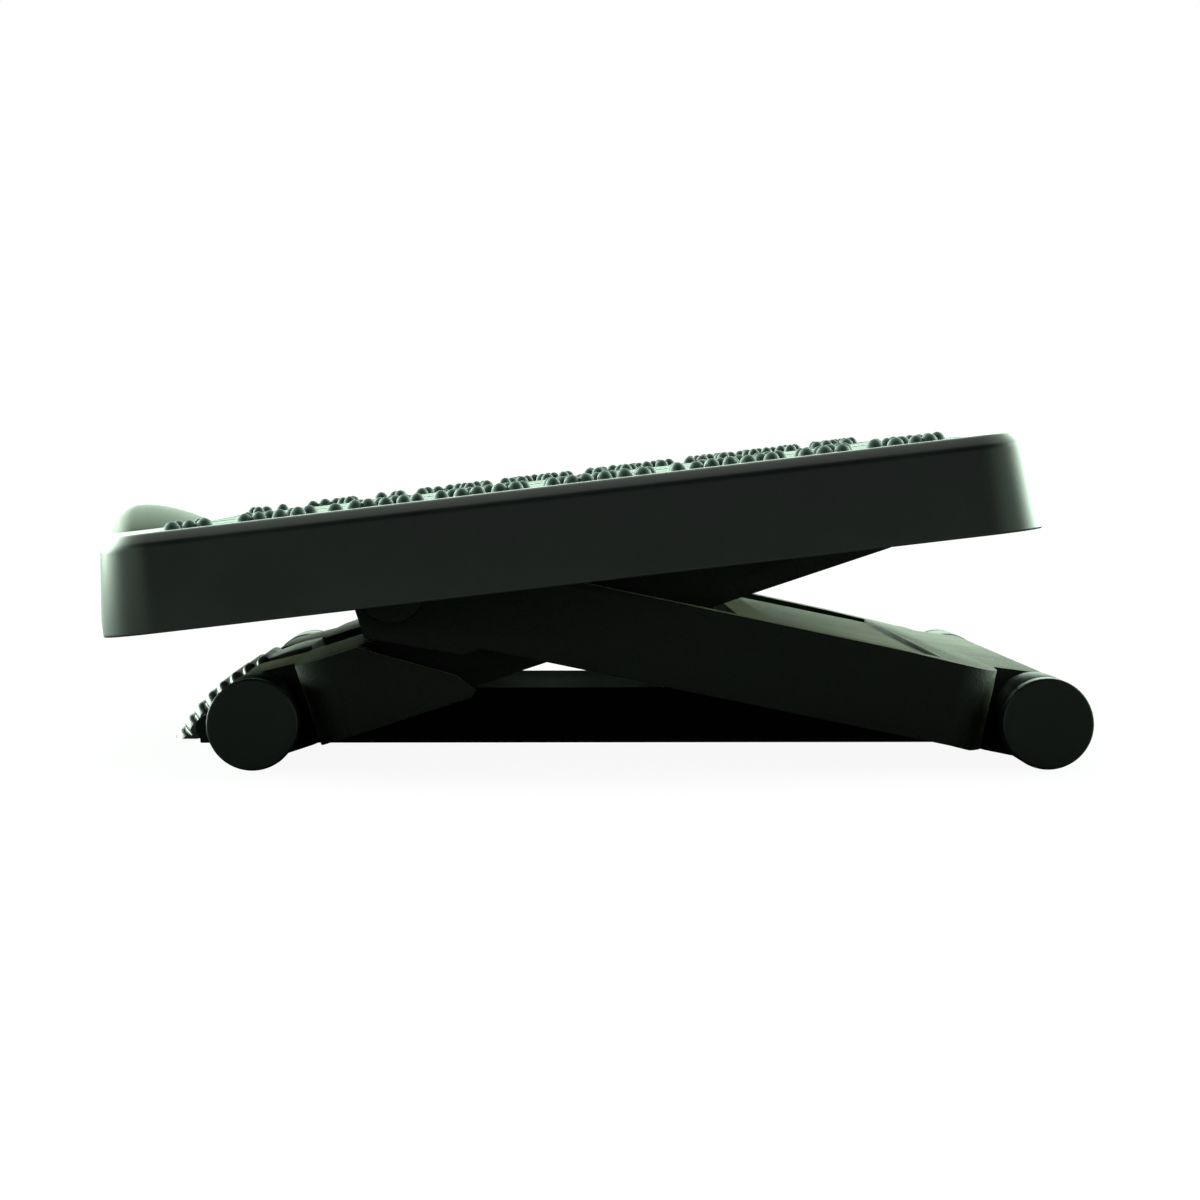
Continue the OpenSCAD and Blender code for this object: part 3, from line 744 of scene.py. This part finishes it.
def camera():
    """The photo's view: low, square to the object's side, a little above the platform's heel end."""
    data = bpy.data.cameras.new("view")
    data.sensor_width = 36
    data.lens = 115.2
    data.clip_end = 50
    obj = new_object("view", data)
    mid = (cad_box[0][0] + cad_box[1][0]) / 2
    obj.location = (mid - 0.0102, -1.596, 0.1142)
    aim = Vector((mid + 0.0116, -0.200, 0.0622))
    obj.rotation_euler = (aim - obj.location).to_track_quat("-Z", "Y").to_euler()
    bpy.context.scene.camera = obj


def floor():
    """A pale floor that the camera sees almost white, with the faint shadows that light gives it."""
    mesh = bpy.data.meshes.new("floor")
    size = 40
    mesh.from_pydata([(-size, -size, 0), (size, -size, 0), (size, size, 0), (-size, size, 0)], [],
                     [(0, 1, 2, 3)])
    obj = new_object("floor", mesh)
    n = Nodes("pale_floor")
    speckle = n.noise(300, 3)
    colour = n.blend(n.spread(speckle, "Fac", 0, 1), "Result", (0.78, 0.78, 0.775), (0.82, 0.82, 0.815))
    path = n.add("ShaderNodeLightPath")
    dim = n.add("ShaderNodeMix", data_type="RGBA")
    dim.inputs["A"].default_value = (*FLOOR_BOUNCE, 1)
    n.link(path, "Is Camera Ray", dim, "Factor")
    n.link(colour, "Result", dim, "B")
    n.link(dim, "Result", n.shader, "Base Color")
    n.shader.inputs["Roughness"].default_value = 0.95
    n.shader.inputs["Specular IOR Level"].default_value = 0.1
    glow = n.add("ShaderNodeEmission")
    glow.inputs["Strength"].default_value = 1.0
    share = n.add("ShaderNodeMath", operation="MULTIPLY")
    share.inputs[1].default_value = FLOOR_WHITE
    n.link(path, "Is Camera Ray", share, 0)
    mix = n.add("ShaderNodeMixShader")
    n.link(share, "Value", mix, 0)
    n.link(n.shader, "BSDF", mix, 1)
    n.link(glow, "Emission", mix, 2)
    n.link(mix, "Shader", n.out, "Surface")
    obj.data.materials.append(n.material)


def area_light(name, place, aim, size, power):
    data = bpy.data.lights.new(name, "AREA")
    data.shape = "RECTANGLE"
    data.size, data.size_y = size
    data.energy = power
    obj = new_object(name, data)
    obj.location = place
    obj.rotation_euler = (Vector(aim) - Vector(place)).to_track_quat("-Z", "Y").to_euler()


def ramp(tree, source, low, high, start, end):
    """A smooth step from low to high, as the source goes from start to end."""
    node = tree.nodes.new("ShaderNodeMapRange")
    node.interpolation_type = "SMOOTHSTEP"
    node.inputs["From Min"].default_value = start
    node.inputs["From Max"].default_value = end
    node.inputs["To Min"].default_value = low
    node.inputs["To Max"].default_value = high
    tree.links.new(source, node.inputs["Value"])
    return node.outputs["Result"]


def combine(tree, operation, a, b):
    node = tree.nodes.new("ShaderNodeMath")
    node.operation = operation
    tree.links.new(a, node.inputs[0])
    tree.links.new(b, node.inputs[1])
    return node.outputs[0]


def studio_glow(tree):
    """The backdrop's strength by direction: bright behind and at both sides, dim above and ahead."""
    place = tree.nodes.new("ShaderNodeTexCoord")
    split = tree.nodes.new("ShaderNodeSeparateXYZ")
    tree.links.new(place.outputs["Generated"], split.inputs[0])
    x, y, z = (split.outputs[axis] for axis in "XYZ")
    right = ramp(tree, x, BASE_GLOW, RIGHT_GLOW, 0.25, 0.80)
    left = ramp(tree, x, LEFT_GLOW, 0.0, -0.70, -0.15)
    back = ramp(tree, y, 0.0, BACK_GLOW, -0.10, 0.45)
    horizon = ramp(tree, z, HORIZON_SHARE, 1.0, 0.02, 0.30)
    high = ramp(tree, z, 1.0, TOP_SHARE, 0.32, 0.85)
    front = ramp(tree, y, FRONT_SHARE, 1.0, -0.35, 0.55)
    sides = combine(tree, "ADD", right, left)
    glow = combine(tree, "ADD", sides, combine(tree, "MULTIPLY", back, horizon))
    return combine(tree, "MULTIPLY", combine(tree, "MULTIPLY", glow, high), front)


def lighting():
    """A white studio that glows behind and beside the object; the camera sees plain white."""
    world = bpy.data.worlds.new("studio")
    world.use_nodes = True
    tree = world.node_tree
    tree.nodes.clear()
    out = tree.nodes.new("ShaderNodeOutputWorld")
    seen = tree.nodes.new("ShaderNodeBackground")
    lit = tree.nodes.new("ShaderNodeBackground")
    mix = tree.nodes.new("ShaderNodeMixShader")
    path = tree.nodes.new("ShaderNodeLightPath")
    seen.inputs["Color"].default_value = (1, 1, 1, 1)
    seen.inputs["Strength"].default_value = 1.0
    lit.inputs["Color"].default_value = GLOW_COLOUR
    tree.links.new(studio_glow(tree), lit.inputs["Strength"])
    tree.links.new(path.outputs["Is Camera Ray"], mix.inputs["Fac"])
    tree.links.new(lit.outputs[0], mix.inputs[1])
    tree.links.new(seen.outputs[0], mix.inputs[2])
    tree.links.new(mix.outputs[0], out.inputs["Surface"])
    bpy.context.scene.world = world
    area_light("top", place=(0, 0.4, 2.2), aim=(0, 0, 0.06), size=(2.4, 1.4), power=8)
    area_light("front", place=(0.3, -3.0, 0.9), aim=(0, 0, 0.04), size=(2.5, 1.2), power=2.2)
    bpy.context.scene.view_settings.view_transform = "Standard"


camera()
floor()
lighting()
platform()
frames()
feet()
small_parts()
